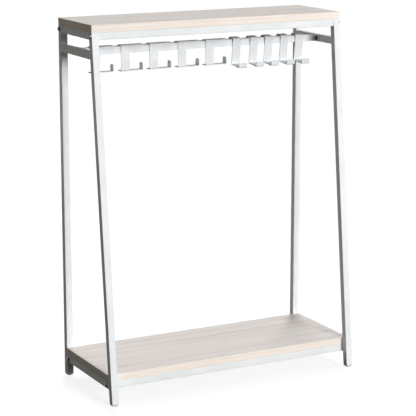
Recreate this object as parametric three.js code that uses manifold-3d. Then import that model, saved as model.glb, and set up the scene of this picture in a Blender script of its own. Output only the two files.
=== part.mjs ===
// Free-standing hook rack. Two welded side frames of square steel tube lean their
// front legs back. Four bolted cross rails tie them together. A shelf board lies on
// top, a deeper one sits near the floor, and a hanger bar carries ten loose hooks.
//
// Millimetres. +X is to the right seen from the front, +Y to the back, +Z up.
// The origin is on the floor, under the middle of the rack.

import * as THREE from 'three';
import { mergeVertices } from 'three/addons/utils/BufferGeometryUtils.js';
import Module from 'manifold-3d';

// ---------------------------------------------------------------- driving dimensions

const overallWidth = 750;
const overallHeight = 1000;
const overallDepth = 320;

// Square tube of every leg, rail and of the bar.
const tubeSize = 19;
const tubeWall = 1.2;
const tubeCornerRadius = 1.5;
const weldGap = 0.3; // a mitred tube end stops this far from the leaning leg

// Boards.
const topBoardDepth = 220;
const boardThickness = 20;
const boardEdgeBevel = 0.8;
const boardCornerRadius = 1.6;
const bottomBoardTop = 82; // height of the bottom board's upper face
const boardClearance = 0.4; // between the bottom board and the legs

// Hanger bar, and how far its rail hangs below the top side rail.
const barRailGap = 32;
const barPlateThickness = 2.5;
const barPlateLength = 71;
const barScrewOffset = 23; // from the bar's middle to each screw
const barVentRadius = 4; // hole in each end plate that opens into the bar

// Feet.
const footHeight = 9;
const footRounding = 7.5;
const footPlugLength = 12;
const plugClearance = 0.2; // from a plug or insert to the tube's inner wall

// Rail-end inserts and fasteners.
const insertLength = 12;
const holeClearance = 0.2; // radial, round every bolt and screw
const frameBolt = { shank: 6, length: 35, head: 12, headHeight: 5, socket: 4, socketDepth: 2.5 };
const barScrew = { shank: 5, length: 9, head: 12, headHeight: 5, socket: 3, socketDepth: 2.2 };
const boardScrew = { shank: 3.6, length: 33, head: 8, headHeight: 2.2, socket: 2.5, socketDepth: 1.4 };
const boardScrewInset = 60; // from each end of a side rail to its board screw

// Hooks, bent from flat steel.
const hookSheet = 2.3;
const hookBendRadius = 1.2; // inside radius of every bend
const hookWidth = 25; // width of the hanging plate
const hookTopGap = 0.3; // between the bar's top and the hook on it
const hookRearDrop = 15; // rear lip, below the bar's top
const hookCornerRadius = 5; // rounded corners of the upturned ends

const bagHookWidth = 66.5;
const bagHookPlay = 0.5; // from the bar's front and rear to the saddle
const bagHookFrontDrop = 19.5;
const bagHookDrop = 68.3; // from the bar's top to the underside of the ledge
const bagHookLedge = 23; // ledge depth, from the front of the plate
const bagHookTab = 20;

const coatHookPlay = 3; // the saddle's mouth is this much wider than the bar
const coatHookDrop = 71;
const coatHookReach = 46; // from the back of the plate to the front of the tab
const coatHookTab = 15;

// The bar's free length is shared between the gaps beside the hooks, left to right.
const bagHookCount = 5;
const coatHookCount = 5;
const hookGapShares = [19, 20, 18, 19, 18, 17, 30, 22, 25, 23, 39];

// ---------------------------------------------------------------- places worked out

const halfWidth = overallWidth / 2;
const frameInnerX = halfWidth - tubeSize; // inner faces of the side frames
const backY = overallDepth / 2;
const legTopZ = overallHeight - boardThickness;
const rearLegFrontY = backY - tubeSize;
const leanSlope = (overallDepth - topBoardDepth) / (legTopZ - footHeight);
const leaningDepth = tubeSize * Math.hypot(1, leanSlope); // level cut through a leaning leg

const topRailZ = legTopZ - tubeSize / 2;
const barRailZ = topRailZ - tubeSize - barRailGap;
const bottomRailZ = bottomBoardTop - boardThickness - tubeSize / 2;

const topBoardFrontY = backY - topBoardDepth;
const bottomBoardFrontY = frontLegBackY(bottomBoardTop) + boardClearance;
const bottomBoardBackY = rearLegFrontY - boardClearance;

const barY = (frontLegBackY(barRailZ) + rearLegFrontY) / 2;
const barFrontY = barY - tubeSize / 2;
const barTopZ = barRailZ + tubeSize / 2;
const barEndX = frameInnerX - barPlateThickness;

// The four cross rails, each with the height and depth of its middle.
const crossRails = [
  { name: 'top_front', y: topBoardFrontY + tubeSize / 2, z: topRailZ },
  { name: 'top_rear', y: backY - tubeSize / 2, z: topRailZ },
  { name: 'bottom_front', y: bottomBoardFrontY + tubeSize / 2, z: bottomRailZ },
  { name: 'bottom_rear', y: rearLegFrontY - tubeSize / 2, z: bottomRailZ },
];

const sides = [
  { name: 'left', sign: -1 },
  { name: 'right', sign: 1 },
];

// Front and back faces of a front leg at height z.
function frontLegFrontY(z) {
  return -overallDepth / 2 + leanSlope * (z - footHeight);
}

function frontLegBackY(z) {
  return frontLegFrontY(z) + leaningDepth;
}

// ---------------------------------------------------------------- materials

function finish(name, color, roughness, metalness) {
  return new THREE.MeshStandardMaterial({ name, color, roughness, metalness });
}

const whiteSteel = finish('white_powder_coated_steel', 0xe6e9ea, 0.45, 0.1);
const hookSteel = finish('white_coated_hook_steel', 0xdfe3e6, 0.45, 0.1);
const laminate = finish('whitewashed_wood_laminate', 0xdcd2c8, 0.6, 0);
const zinc = finish('zinc_plated_steel', 0xa9a8a2, 0.35, 0.9);
const darkScrew = finish('dark_plated_screw', 0x5a524a, 0.4, 0.8);
const nylon = finish('white_nylon', 0xe9e9e4, 0.5, 0);

// ---------------------------------------------------------------- joining and cutting

const wasm = await Module();
wasm.setup();

function toSolid(geometry) {
  const bare = geometry.clone();
  bare.deleteAttribute('normal');
  bare.deleteAttribute('uv');
  const merged = mergeVertices(bare, 1e-4);
  const vertProperties = new Float32Array(merged.attributes.position.array);
  const triVerts = new Uint32Array(merged.index.array);
  return new wasm.Manifold(new wasm.Mesh({ numProp: 3, vertProperties, triVerts }));
}

function toGeometry(solid) {
  const mesh = solid.getMesh();
  const geometry = new THREE.BufferGeometry();
  geometry.setAttribute('position', new THREE.BufferAttribute(mesh.vertProperties, 3));
  geometry.setIndex(new THREE.BufferAttribute(mesh.triVerts, 1));
  geometry.computeVertexNormals();
  return geometry;
}

function cut(geometry, tools) {
  let solid = toSolid(geometry);
  for (const tool of tools) {
    solid = solid.subtract(toSolid(tool));
  }
  return toGeometry(solid);
}

function join(geometries) {
  let solid = toSolid(geometries[0]);
  for (const geometry of geometries.slice(1)) {
    solid = solid.add(toSolid(geometry));
  }
  return toGeometry(solid);
}

function meet(geometries) {
  let solid = toSolid(geometries[0]);
  for (const geometry of geometries.slice(1)) {
    solid = solid.intersect(toSolid(geometry));
  }
  return toGeometry(solid);
}

// ---------------------------------------------------------------- shared shapes

const xAxis = new THREE.Vector3(1, 0, 0);
const yAxis = new THREE.Vector3(0, 1, 0);
const zAxis = new THREE.Vector3(0, 0, 1);
const roundSides = 12; // facets round every screw and hole

// Turn a shape drawn in its own x and y so that they run along the given directions.
function facing(geometry, xDirection, yDirection) {
  const zDirection = new THREE.Vector3().crossVectors(xDirection, yDirection);
  return geometry.applyMatrix4(new THREE.Matrix4().makeBasis(xDirection, yDirection, zDirection));
}

function extrude(shape, depth, curveSegments = 3) {
  return new THREE.ExtrudeGeometry(shape, { depth, bevelEnabled: false, curveSegments });
}

// Rounded rectangle centred on the origin.
function roundedRectangle(width, height, radius, Target = THREE.Shape) {
  const x = width / 2;
  const y = height / 2;
  const outline = new Target();
  outline.moveTo(-x + radius, -y);
  outline.lineTo(x - radius, -y);
  outline.absarc(x - radius, -y + radius, radius, -Math.PI / 2, 0, false);
  outline.lineTo(x, y - radius);
  outline.absarc(x - radius, y - radius, radius, 0, Math.PI / 2, false);
  outline.lineTo(-x + radius, y);
  outline.absarc(-x + radius, y - radius, radius, Math.PI / 2, Math.PI, false);
  outline.lineTo(-x, -y + radius);
  outline.absarc(-x + radius, -y + radius, radius, Math.PI, Math.PI * 1.5, false);
  return outline;
}

// Open-ended square tube along +Z, its section centred on the Z axis.
function squareTube(length) {
  const section = roundedRectangle(tubeSize, tubeSize, tubeCornerRadius);
  const inside = tubeSize - 2 * tubeWall;
  const insideRadius = Math.max(tubeCornerRadius - tubeWall, 0.3);
  section.holes.push(roundedRectangle(inside, inside, insideRadius, THREE.Path));
  return extrude(section, length, 1);
}

// Round tool for drilling along X, Y or Z, with its middle at the origin.
function drill(radius, length, axis) {
  const tool = new THREE.CylinderGeometry(radius, radius, length, roundSides);
  if (axis === 'x') tool.rotateZ(Math.PI / 2);
  if (axis === 'z') tool.rotateX(Math.PI / 2);
  return tool;
}

// Outline of a sheet of one thickness, bent at the inner corners of its middle line.
function bentSheet(corners, thickness, insideRadius) {
  const radius = insideRadius + thickness / 2;
  const arcSteps = 4;
  const left = [];
  const right = [];
  const addPoint = (point, normal) => {
    left.push(point.clone().addScaledVector(normal, thickness / 2));
    right.unshift(point.clone().addScaledVector(normal, -thickness / 2));
  };
  const directionTo = (i) => corners[i + 1].clone().sub(corners[i]).normalize();
  const normalOf = (direction) => new THREE.Vector2(-direction.y, direction.x);

  addPoint(corners[0], normalOf(directionTo(0)));
  for (let i = 1; i < corners.length - 1; i += 1) {
    const incoming = directionTo(i - 1);
    const turn = Math.atan2(incoming.cross(directionTo(i)), incoming.dot(directionTo(i)));
    const setback = radius * Math.tan(Math.abs(turn) / 2);
    const start = corners[i].clone().addScaledVector(incoming, -setback);
    const normal = normalOf(incoming);
    const centre = start.clone().addScaledVector(normal, radius * Math.sign(turn));
    for (let step = 0; step <= arcSteps; step += 1) {
      const turned = normal.clone().rotateAround(new THREE.Vector2(), (turn * step) / arcSteps);
      addPoint(centre.clone().addScaledVector(turned, -radius * Math.sign(turn)), turned);
    }
  }
  addPoint(corners[corners.length - 1], normalOf(directionTo(corners.length - 2)));
  return new THREE.Shape([...left, ...right]);
}

// Tool that rounds an outer corner at the origin, where the material lies at -x and -y.
function cornerTool(radius, depth) {
  const spare = 1;
  const outline = new THREE.Shape();
  outline.moveTo(-radius, 0);
  outline.absarc(-radius, -radius, radius, Math.PI / 2, 0, true);
  outline.lineTo(spare, -radius);
  outline.lineTo(spare, spare);
  outline.lineTo(-radius, spare);
  return extrude(outline, depth).translate(0, 0, -depth / 2);
}

const rack = new THREE.Group();

function addMesh(parent, name, geometry, material, x = 0, y = 0, z = 0) {
  const mesh = new THREE.Mesh(geometry, material);
  mesh.name = name;
  mesh.position.set(x, y, z);
  parent.add(mesh);
  return mesh;
}

// ---------------------------------------------------------------- side frames

const boltHoleRadius = frameBolt.shank / 2 + holeClearance;
const barScrewHoleRadius = barScrew.shank / 2 + holeClearance;
const boardScrewHoleRadius = boardScrew.shank / 2 + holeClearance;
const throughTube = tubeSize * 2;

// Upright rear leg, its lower end on the origin.
function rearLeg() {
  const tube = squareTube(legTopZ - footHeight);
  const hole = drill(boltHoleRadius, throughTube, 'x').translate(0, 0, topRailZ - footHeight);
  return cut(tube, [hole]);
}

// Leaning front leg, cut level at both ends, its lower end on the origin.
function frontLeg() {
  const tube = squareTube(legTopZ - footHeight);
  const lean = new THREE.Matrix4().set(
    1, 0, 0, 0,
    0, leaningDepth / tubeSize, leanSlope, 0,
    0, 0, 1, 0,
    0, 0, 0, 1,
  );
  tube.applyMatrix4(lean);
  const holeY = crossRails[0].y - frontLegFrontY(footHeight) - leaningDepth / 2;
  const hole = drill(boltHoleRadius, throughTube, 'x').translate(0, holeY, topRailZ - footHeight);
  return cut(tube, [hole]);
}

// Side rail at height z, from the back of the front leg to the rear leg. Its front end
// is mitred to the lean. The geometry lies round y = 0 at the rear leg, z = 0 at its middle.
function sideRail(z) {
  const length = rearLegFrontY - frontLegBackY(z) - weldGap;
  const rail = facing(squareTube(length), zAxis, xAxis);
  rail.translate(0, -length, 0);
  const position = rail.attributes.position;
  for (let i = 0; i < position.count; i += 1) {
    const atFrontEnd = position.getY(i) < -length / 2;
    if (atFrontEnd) position.setY(i, position.getY(i) + leanSlope * position.getZ(i));
  }
  return rail;
}

// Depth of a board's two screws on the side rail at height z.
function boardScrewYs(z) {
  return [frontLegBackY(z) + boardScrewInset, rearLegFrontY - boardScrewInset];
}

function boardScrewHoles(z) {
  return boardScrewYs(z).map((y) => (
    drill(boardScrewHoleRadius, throughTube, 'z').translate(0, y - rearLegFrontY, 0)
  ));
}

function topSideRail() {
  return cut(sideRail(topRailZ), boardScrewHoles(topRailZ));
}

// The bar's screws go through the inner wall only. sign is the side the wall faces away from.
function barSideRail(sign) {
  const innerWallX = -sign * (tubeSize / 2 - tubeWall / 2);
  const holes = [-1, 1].map((end) => (
    drill(barScrewHoleRadius, tubeWall * 3, 'x')
      .translate(innerWallX, barY + end * barScrewOffset - rearLegFrontY, 0)
  ));
  return cut(sideRail(barRailZ), holes);
}

function bottomSideRail() {
  const boltHoles = crossRails.slice(2).map((rail) => (
    drill(boltHoleRadius, throughTube, 'x').translate(0, rail.y - rearLegFrontY, 0)
  ));
  return cut(sideRail(bottomRailZ), [...boltHoles, ...boardScrewHoles(bottomRailZ)]);
}

for (const side of sides) {
  const frame = new THREE.Group();
  frame.position.x = side.sign * (halfWidth - tubeSize / 2);
  rack.add(frame);

  const frontLegY = frontLegFrontY(footHeight) + leaningDepth / 2;
  addMesh(frame, `${side.name}_rear_leg`, rearLeg(), whiteSteel, 0, backY - tubeSize / 2, footHeight);
  addMesh(frame, `${side.name}_front_leg`, frontLeg(), whiteSteel, 0, frontLegY, footHeight);
  addMesh(frame, `${side.name}_top_rail`, topSideRail(), whiteSteel, 0, rearLegFrontY, topRailZ);
  addMesh(frame, `${side.name}_bar_rail`, barSideRail(side.sign), whiteSteel, 0, rearLegFrontY, barRailZ);
  addMesh(frame, `${side.name}_bottom_rail`, bottomSideRail(), whiteSteel, 0, rearLegFrontY, bottomRailZ);
}

// ---------------------------------------------------------------- cross rails and inserts

function crossRail() {
  const length = 2 * frameInnerX;
  return facing(squareTube(length), yAxis, zAxis).translate(-length / 2, 0, 0);
}

// Threaded block pressed into the end of a cross rail, drilled along X.
function railInsert() {
  const size = tubeSize - 2 * tubeWall - 2 * plugClearance;
  const block = facing(extrude(roundedRectangle(size, size, 1), insertLength, 1), yAxis, zAxis);
  block.translate(-insertLength / 2, 0, 0);
  return cut(block, [drill(boltHoleRadius, insertLength * 2, 'x')]);
}

for (const rail of crossRails) {
  addMesh(rack, `${rail.name}_rail`, crossRail(), whiteSteel, 0, rail.y, rail.z);
  for (const side of sides) {
    const insertX = side.sign * (frameInnerX - insertLength / 2);
    addMesh(rack, `${rail.name}_${side.name}_insert`, railInsert(), zinc, insertX, rail.y, rail.z);
  }
}

// ---------------------------------------------------------------- bolts and screws

// Button-head screw along Y: the head stands on the origin, the shank points to -Y.
function buttonScrew(size) {
  const headRadius = size.head / 2;
  const shankRadius = size.shank / 2;
  const rim = size.headHeight * 0.25;
  const tipChamfer = shankRadius * 0.3;
  const profile = [
    new THREE.Vector2(0, -size.length),
    new THREE.Vector2(shankRadius - tipChamfer, -size.length),
    new THREE.Vector2(shankRadius, -size.length + tipChamfer),
    new THREE.Vector2(shankRadius, 0),
    new THREE.Vector2(headRadius, 0),
    new THREE.Vector2(headRadius, rim),
    new THREE.Vector2(headRadius * 0.86, size.headHeight * 0.66),
    new THREE.Vector2(headRadius * 0.58, size.headHeight),
    new THREE.Vector2(0, size.headHeight),
  ];
  const body = new THREE.LatheGeometry(profile, roundSides);
  const socketRadius = size.socket / Math.sqrt(3);
  const socket = new THREE.CylinderGeometry(socketRadius, socketRadius, size.socketDepth * 2, 6);
  socket.translate(0, size.headHeight, 0);
  return cut(body, [socket]);
}

// Frame bolts: through the legs at the top, through the bottom side rails below.
for (const rail of crossRails) {
  for (const side of sides) {
    const bolt = buttonScrew(frameBolt).rotateZ((-side.sign * Math.PI) / 2);
    const name = `${rail.name}_${side.name}_bolt`;
    addMesh(rack, name, bolt, zinc, side.sign * halfWidth, rail.y, rail.z);
  }
}

// Board screws: up through each side rail into the board.
const boards = [
  { name: 'top_board', railZ: topRailZ },
  { name: 'bottom_board', railZ: bottomRailZ },
];
const sideRailX = halfWidth - tubeSize / 2;

for (const board of boards) {
  for (const side of sides) {
    boardScrewYs(board.railZ).forEach((y, i) => {
      const screw = buttonScrew(boardScrew).rotateX(-Math.PI / 2);
      const name = `${board.name}_${side.name}_${i === 0 ? 'front' : 'rear'}_screw`;
      addMesh(rack, name, screw, zinc, side.sign * sideRailX, y, board.railZ - tubeSize / 2);
    });
  }
}

// ---------------------------------------------------------------- boards

// Flat board centred on X = 0, its underside on z = 0, drilled from below for its screws.
function boardPanel(frontY, rearY, railZ) {
  const depth = rearY - frontY;
  const outline = roundedRectangle(overallWidth, depth, boardCornerRadius);
  const panel = new THREE.ExtrudeGeometry(outline, {
    depth: boardThickness - 2 * boardEdgeBevel,
    bevelThickness: boardEdgeBevel,
    bevelSize: boardEdgeBevel,
    bevelOffset: -boardEdgeBevel,
    bevelSegments: 1,
    curveSegments: 2,
  });
  panel.translate(0, (frontY + rearY) / 2, boardEdgeBevel);
  const pilotDepth = boardScrew.length - tubeSize + 1;
  const pilots = [];
  for (const side of sides) {
    for (const y of boardScrewYs(railZ)) {
      pilots.push(drill(boardScrewHoleRadius, 2 * pilotDepth, 'z').translate(side.sign * sideRailX, y, 0));
    }
  }
  return cut(panel, pilots);
}

const topBoard = boardPanel(topBoardFrontY, backY, topRailZ);
addMesh(rack, 'top_board', topBoard, laminate, 0, 0, legTopZ);

const bottomBoard = boardPanel(bottomBoardFrontY, bottomBoardBackY, bottomRailZ);
addMesh(rack, 'bottom_board', bottomBoard, laminate, 0, 0, bottomBoardTop - boardThickness);

// ---------------------------------------------------------------- feet

// Side view of a foot's pad: flat on top, rounded below, standing on z = 0.
function padProfile(width) {
  const x = width / 2;
  const outline = new THREE.Shape();
  outline.moveTo(-x + footRounding, 0);
  outline.lineTo(x - footRounding, 0);
  outline.absarc(x - footRounding, footRounding, footRounding, -Math.PI / 2, 0, false);
  outline.lineTo(x, footHeight);
  outline.lineTo(-x, footHeight);
  outline.lineTo(-x, footRounding);
  outline.absarc(-x + footRounding, footRounding, footRounding, Math.PI, Math.PI * 1.5, false);
  return outline;
}

// Moulded cap under a leg, rounded below, with a plug that goes up the tube.
// slope is the leg's lean. The geometry stands on z = 0, centred on the leg's lower end.
function foot(depth, slope) {
  const plan = extrude(roundedRectangle(tubeSize, depth, tubeCornerRadius), footHeight, 1);
  const alongX = extrude(padProfile(depth), tubeSize).translate(0, 0, -tubeSize / 2);
  const alongY = extrude(padProfile(tubeSize), depth).translate(0, 0, -depth / 2);
  const pad = meet([plan, facing(alongX, yAxis, zAxis), facing(alongY, xAxis, zAxis)]);

  const plugSize = tubeSize - 2 * tubeWall - 2 * plugClearance;
  const overlap = 1;
  const plug = extrude(roundedRectangle(plugSize, plugSize, 1), footPlugLength + overlap, 1);
  const lean = new THREE.Matrix4().makeShear(0, 0, 0, 0, 0, slope);
  plug.translate(0, 0, -overlap).applyMatrix4(lean).translate(0, 0, footHeight);
  return join([pad, plug]);
}

for (const side of sides) {
  const x = side.sign * sideRailX;
  const frontY = frontLegFrontY(footHeight) + leaningDepth / 2;
  addMesh(rack, `${side.name}_front_foot`, foot(leaningDepth, leanSlope), nylon, x, frontY, 0);
  addMesh(rack, `${side.name}_rear_foot`, foot(tubeSize, 0), nylon, x, backY - tubeSize / 2, 0);
}

// ---------------------------------------------------------------- hanger bar

// Tube with an end plate welded on each end. Each plate has two screw holes and a vent.
function hangerBar() {
  const spare = 0.5; // the tube reaches this far into each plate
  const length = 2 * (barEndX + spare);
  const tube = facing(squareTube(length), yAxis, zAxis).translate(-length / 2, 0, 0);
  const pieces = [tube];
  const holes = [];
  for (const side of sides) {
    const plateX = side.sign * (frameInnerX - barPlateThickness / 2);
    const plate = new THREE.BoxGeometry(barPlateThickness, barPlateLength, tubeSize);
    pieces.push(plate.translate(plateX, 0, 0));
    for (const end of [-1, 1]) {
      const hole = drill(barScrewHoleRadius, barPlateThickness * 3, 'x');
      holes.push(hole.translate(plateX, end * barScrewOffset, 0));
    }
    holes.push(drill(barVentRadius, barPlateThickness * 3, 'x').translate(plateX, 0, 0));
  }
  return cut(join(pieces), holes);
}

addMesh(rack, 'hanger_bar', hangerBar(), whiteSteel, 0, barY, barRailZ);

for (const side of sides) {
  for (const end of [-1, 1]) {
    const screw = buttonScrew(barScrew).rotateZ((side.sign * Math.PI) / 2);
    const name = `bar_${side.name}_${end < 0 ? 'front' : 'rear'}_screw`;
    addMesh(rack, name, screw, darkScrew, side.sign * barEndX, barY + end * barScrewOffset, barRailZ);
  }
}

// ---------------------------------------------------------------- hooks

// Both hooks are drawn with x = 0 at their left edge, y = 0 at the inner face of the
// saddle's front, and z = 0 at the inner face of its top.

function strip(corners, width) {
  const points = corners.map(([y, z]) => new THREE.Vector2(y, z));
  return facing(extrude(bentSheet(points, hookSheet, hookBendRadius), width), yAxis, zAxis);
}

const half = hookSheet / 2; // from a face of the sheet to its middle line

// Wide saddle, a narrow plate down from its left end, a ledge bent back under the bar
// that runs to the saddle's full width, and an upturned end on the ledge.
function bagHook() {
  const mouth = tubeSize + 2 * bagHookPlay;
  const ledgeZ = -bagHookDrop + half;
  const ledgeBackY = bagHookLedge - hookSheet;
  const overlap = 4;

  const saddle = strip([
    [mouth + half, -hookRearDrop],
    [mouth + half, half],
    [-half, half],
    [-half, -bagHookFrontDrop],
  ], bagHookWidth);

  const plate = strip([
    [-half, -bagHookFrontDrop / 2],
    [-half, ledgeZ],
    [ledgeBackY, ledgeZ],
  ], hookWidth);

  const ledgeLine = [
    new THREE.Vector2(hookWidth - overlap, ledgeZ),
    new THREE.Vector2(bagHookWidth - half, ledgeZ),
    new THREE.Vector2(bagHookWidth - half, -bagHookDrop + bagHookTab),
  ];
  const ledge = extrude(bentSheet(ledgeLine, hookSheet, hookBendRadius), ledgeBackY);
  facing(ledge, xAxis, zAxis).translate(0, ledgeBackY, 0);

  const corners = [[0, -1], [ledgeBackY, 1]].map(([y, direction]) => {
    const outward = yAxis.clone().multiplyScalar(direction);
    const tool = facing(cornerTool(hookCornerRadius, hookSheet * 3), outward, zAxis);
    return tool.translate(bagHookWidth, y, -bagHookDrop + bagHookTab);
  });
  return cut(join([saddle, plate, ledge]), corners);
}

// Saddle, plate, a shelf bent forward and an upturned end, all of one width.
function coatHook() {
  const mouth = tubeSize + coatHookPlay;
  const shelfZ = -coatHookDrop + half;
  const body = strip([
    [mouth + half, -hookRearDrop],
    [mouth + half, half],
    [-half, half],
    [-half, shelfZ],
    [-coatHookReach + half, shelfZ],
    [-coatHookReach + half, -coatHookDrop + coatHookTab],
  ], hookWidth);
  const corners = [[0, -1], [hookWidth, 1]].map(([x, direction]) => {
    const outward = xAxis.clone().multiplyScalar(direction);
    const tool = facing(cornerTool(hookCornerRadius, hookSheet * 3), outward, zAxis);
    return tool.translate(x, -coatHookReach + half, -coatHookDrop + coatHookTab);
  });
  return cut(body, corners);
}

// A coat hook's weight is in front of the bar, so it tips back until its plate rests on
// the bar's lower front edge and its rear lip on the upper rear edge.
const heldSize = tubeSize + 2 * hookTopGap;
const coatHookTilt = Math.asin((tubeSize + coatHookPlay) / (heldSize * Math.SQRT2)) - Math.PI / 4;
const coatHookSlip = heldSize * Math.sin(coatHookTilt);

const freeLength = 2 * barEndX - bagHookCount * bagHookWidth - coatHookCount * hookWidth;
const shareTotal = hookGapShares.reduce((sum, share) => sum + share, 0);

let hookX = -barEndX;
for (let i = 0; i < bagHookCount + coatHookCount; i += 1) {
  hookX += (freeLength * hookGapShares[i]) / shareTotal;
  if (i < bagHookCount) {
    const y = barFrontY - bagHookPlay;
    addMesh(rack, `bag_hook_${i + 1}`, bagHook(), hookSteel, hookX, y, barTopZ + hookTopGap);
    hookX += bagHookWidth;
  } else {
    const y = barFrontY - hookTopGap - coatHookSlip * Math.cos(coatHookTilt);
    const z = barTopZ + hookTopGap - coatHookSlip * Math.sin(coatHookTilt);
    const name = `coat_hook_${i + 1 - bagHookCount}`;
    const hook = addMesh(rack, name, coatHook(), hookSteel, hookX, y, z);
    hook.rotation.x = coatHookTilt;
    hookX += hookWidth;
  }
}

export default rack;
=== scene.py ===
import math

import bmesh
import bpy
from mathutils import Matrix, Vector


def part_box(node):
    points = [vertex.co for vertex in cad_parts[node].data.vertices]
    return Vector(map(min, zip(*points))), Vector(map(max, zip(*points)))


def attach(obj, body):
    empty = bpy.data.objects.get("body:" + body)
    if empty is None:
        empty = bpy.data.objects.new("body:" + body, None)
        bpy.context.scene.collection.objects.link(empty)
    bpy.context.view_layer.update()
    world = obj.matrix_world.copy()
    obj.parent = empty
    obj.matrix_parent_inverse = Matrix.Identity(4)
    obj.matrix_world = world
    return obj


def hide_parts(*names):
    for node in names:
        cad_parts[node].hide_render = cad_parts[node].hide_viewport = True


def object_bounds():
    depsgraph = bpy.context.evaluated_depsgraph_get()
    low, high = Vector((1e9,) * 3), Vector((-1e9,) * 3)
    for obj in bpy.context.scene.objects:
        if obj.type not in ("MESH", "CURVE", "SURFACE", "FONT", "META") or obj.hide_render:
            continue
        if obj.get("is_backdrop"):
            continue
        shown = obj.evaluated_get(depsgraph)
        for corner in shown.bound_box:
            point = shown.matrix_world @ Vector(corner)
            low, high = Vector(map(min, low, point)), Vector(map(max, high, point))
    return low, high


# A free-standing hook rack: two leaning side frames of square steel tube, cross rails, two
# wood-look boards, and a hanger bar with ten loose hooks. Metres, +X right, +Y back, +Z up.
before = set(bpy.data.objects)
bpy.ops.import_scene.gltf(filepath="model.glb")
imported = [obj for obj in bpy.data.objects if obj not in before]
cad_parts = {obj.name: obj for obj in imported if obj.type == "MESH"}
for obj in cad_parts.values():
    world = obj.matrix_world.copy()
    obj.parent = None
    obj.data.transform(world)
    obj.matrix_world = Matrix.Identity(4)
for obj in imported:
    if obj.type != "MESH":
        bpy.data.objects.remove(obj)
cad_low, cad_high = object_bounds()
mm = 0.001
scene = bpy.context.scene


# ---------------------------------------------------------------- camera
# A long lens, to the left of the rack and a little above it, looking slightly down.

rack_middle = (cad_low + cad_high) / 2
camera_azimuth = math.radians(27.83)
camera_pitch = math.radians(12.51)
camera_distance = 4.5
camera_aim = rack_middle + Vector((-46, -77, -10)) * mm
camera_data = bpy.data.cameras.new("camera")
camera_data.lens = 143.7
camera = bpy.data.objects.new("camera", camera_data)
looking = Vector((
    math.sin(camera_azimuth) * math.cos(camera_pitch),
    math.cos(camera_azimuth) * math.cos(camera_pitch),
    -math.sin(camera_pitch),
))
camera.location = camera_aim - looking * camera_distance
camera.rotation_euler = (math.pi / 2 - camera_pitch, 0, -camera_azimuth)
scene.collection.objects.link(camera)
scene.camera = camera


# ---------------------------------------------------------------- studio
# Seamless white paper under the rack and six soft lamps. The key stands low, in front and a
# little to the right, so faces turned to the left fall into shade.

def linear(hex_colour):
    """An sRGB hex colour as the linear RGBA that a socket takes."""
    channels = [int(hex_colour[i:i + 2], 16) / 255 for i in (1, 3, 5)]
    return [c / 12.92 if c <= 0.04045 else ((c + 0.055) / 1.055) ** 2.4 for c in channels] + [1]


def add_node(tree, kind, settings=None, inputs=None):
    """Adds a node. An input given a socket is linked to it, and any other value is set."""
    node = tree.nodes.new(kind)
    for name, value in (settings or {}).items():
        setattr(node, name, value)
    for key, value in (inputs or {}).items():
        if isinstance(value, bpy.types.NodeSocket):
            tree.links.new(value, node.inputs[key])
        else:
            node.inputs[key].default_value = value
    return node


def start_material(name):
    """An empty material: itself, its tree, and the Object coordinates that patterns read."""
    material = bpy.data.materials.new(name)
    material.use_nodes = True
    tree = material.node_tree
    tree.nodes.clear()
    coordinates = add_node(tree, "ShaderNodeTexCoord").outputs["Object"]
    return material, tree, coordinates


def end_material(tree, looks):
    """Ends a material in a Principled shader with these inputs."""
    shader = add_node(tree, "ShaderNodeBsdfPrincipled", inputs=looks)
    add_node(tree, "ShaderNodeOutputMaterial", inputs={"Surface": shader.outputs[0]})


def shade_ramp(tree, factor, stops):
    """A colour ramp with (position, sRGB hex) stops."""
    ramp = add_node(tree, "ShaderNodeValToRGB", inputs={"Fac": factor})
    for index, (position, colour) in enumerate(stops):
        if index < 2:
            stop = ramp.color_ramp.elements[index]
            stop.position = position
        else:
            stop = ramp.color_ramp.elements.new(position)
        stop.color = linear(colour)
    return ramp.outputs["Color"]


def noise(tree, place, cell, detail, roughness=0.5):
    """Noise with cells of about that size, in metres."""
    return add_node(tree, "ShaderNodeTexNoise", inputs={
        "Vector": place, "Scale": 1 / cell, "Detail": detail, "Roughness": roughness}).outputs["Fac"]


def between(tree, factor, low, high):
    """A factor of 0 to 1 made to run from low to high."""
    return add_node(tree, "ShaderNodeMapRange", inputs={
        "Value": factor, "To Min": low, "To Max": high}).outputs["Result"]


def bumps(tree, height, depth, strength):
    """The normal of a surface with bumps of that depth, in metres."""
    return add_node(tree, "ShaderNodeBump", inputs={
        "Strength": strength, "Distance": depth, "Height": height}).outputs["Normal"]


# Uncoated paper roll: flat white with a faint tooth, lit from its own whiteness as well.
paper, tree, coordinates = start_material("seamless_paper")
tooth = noise(tree, coordinates, mm / 0.7, 2)
end_material(tree, {
    "Base Color": linear("#8C8C8C"), "Roughness": 0.95, "Specular IOR Level": 0.1,
    "Emission Color": linear("#FFFFFF"), "Emission Strength": 0.85,
    "Normal": bumps(tree, tooth, 0.1 * mm, 0.15)})

floor_size = 80
floor_mesh = bpy.data.meshes.new("floor")
corner = floor_size / 2
floor_mesh.from_pydata(
    [(-corner, -corner, 0), (corner, -corner, 0), (corner, corner, 0), (-corner, corner, 0)],
    [], [(0, 1, 2, 3)])
floor_mesh.materials.append(paper)
floor = bpy.data.objects.new("floor", floor_mesh)
floor.visible_diffuse = False
floor.visible_glossy = False
scene.collection.objects.link(floor)
floor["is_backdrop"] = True


def add_lamp(name, kind, place, strength, colour, spread):
    """A lamp at that place, shining at the middle of the rack. Its spread is the angle of a sun
    in degrees, or the width of an area lamp in metres."""
    lamp = bpy.data.lights.new(name, kind)
    lamp.energy = strength
    lamp.color = linear(colour)[:3]
    if kind == "SUN":
        lamp.angle = math.radians(spread)
    else:
        lamp.size = spread
    holder = bpy.data.objects.new(name, lamp)
    holder.location = place
    aim = rack_middle - holder.location
    holder.rotation_euler = aim.to_track_quat("-Z", "Y").to_euler()
    holder.visible_camera = False
    scene.collection.objects.link(holder)


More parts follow.
